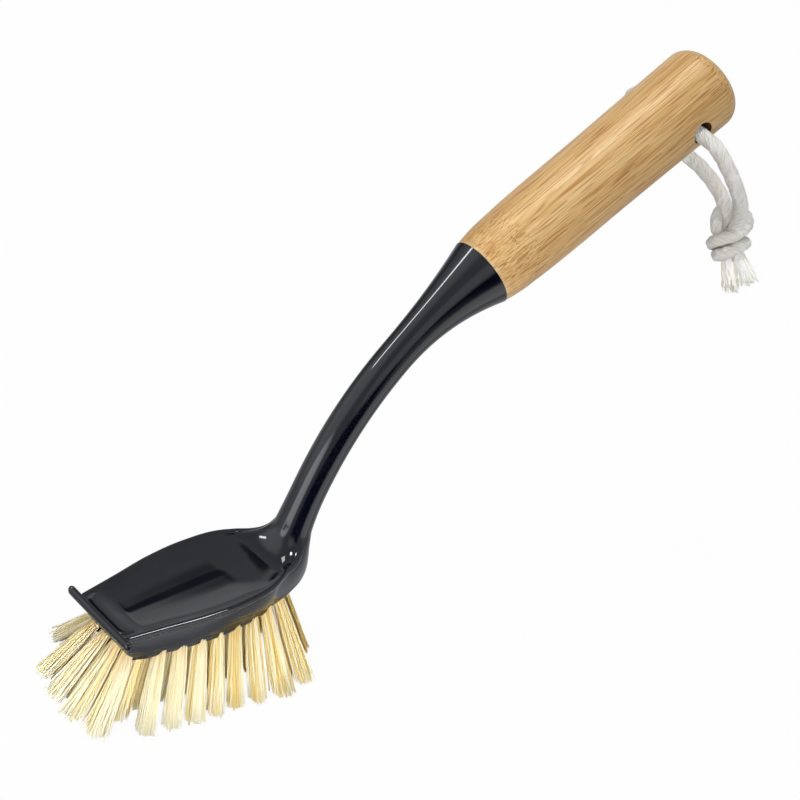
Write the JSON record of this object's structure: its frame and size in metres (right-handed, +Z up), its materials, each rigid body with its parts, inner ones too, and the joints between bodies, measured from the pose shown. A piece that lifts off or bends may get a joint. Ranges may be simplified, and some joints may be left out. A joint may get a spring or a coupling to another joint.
{
  "type": "dish brush",
  "caption": "Dish brush with a round bamboo handle, curved moulded neck, leaf-shaped head with a scraper edge, splayed bristle tufts and a knotted cord to hang it by.",
  "frame": {"origin": "tip of the one upright tuft, in the plane that the bristles are trimmed to", "axes": "+X from the scraper towards the handle's end, +Y across the head, +Z up from the bristle tips through the head's plate"},
  "size_m": [0.2773, 0.0602, 0.1915],
  "materials": {
    "bamboo": "turned bamboo, oiled satin, fine dark streaks along the grain",
    "black_plastic": "injection moulded, high gloss",
    "bristle": "cream filaments, cut tips",
    "anchor_wire": "flat staple wire",
    "cotton_cord": "twisted white cotton rope"
  },
  "bodies": {
    "brush": {"brush_head": "black_plastic", "handle": "bamboo", "tuft_anchors": "anchor_wire", "tuft_centre_1": "bristle", "tuft_centre_2": "bristle", "tuft_centre_3": "bristle", "tuft_centre_4": "bristle", "tuft_centre_5": "bristle", "tuft_centre_6": "bristle", "tuft_centre_7": "bristle", "tuft_centre_8": "bristle", "tuft_far_1": "bristle", "tuft_far_2": "bristle", "tuft_far_3": "bristle", "tuft_far_4": "bristle", "tuft_far_5": "bristle", "tuft_far_6": "bristle", "tuft_far_7": "bristle", "tuft_far_8": "bristle", "tuft_front_1": "bristle", "tuft_front_2": "bristle", "tuft_front_3": "bristle", "tuft_front_4": "bristle", "tuft_inner_far_1": "bristle", "tuft_inner_far_2": "bristle", "tuft_inner_far_3": "bristle", "tuft_inner_far_4": "bristle", "tuft_inner_far_5": "bristle", "tuft_inner_far_6": "bristle", "tuft_inner_far_7": "bristle", "tuft_inner_near_1": "bristle", "tuft_inner_near_2": "bristle", "tuft_inner_near_3": "bristle", "tuft_inner_near_4": "bristle", "tuft_inner_near_5": "bristle", "tuft_inner_near_6": "bristle", "tuft_inner_near_7": "bristle", "tuft_near_1": "bristle", "tuft_near_2": "bristle", "tuft_near_3": "bristle", "tuft_near_4": "bristle", "tuft_near_5": "bristle", "tuft_near_6": "bristle", "tuft_near_7": "bristle", "tuft_near_8": "bristle", "tuft_rear_1": "bristle", "tuft_rear_2": "bristle"},
    "hang_loop": {"cord_in_handle": "cotton_cord", "cord_knot": "cotton_cord", "cord_leg_far": "cotton_cord", "cord_leg_near": "cotton_cord", "cord_tail_far": "cotton_cord", "cord_tail_near": "cotton_cord"}
  },
  "joints": [
    {"name": "loop_swing", "type": "hinge", "parent": "brush", "child": "hang_loop", "pos_m": [0.18033, 0, 0.17118], "axis": [0, -1, 0], "range_deg": [-45, 195]}
  ]
}
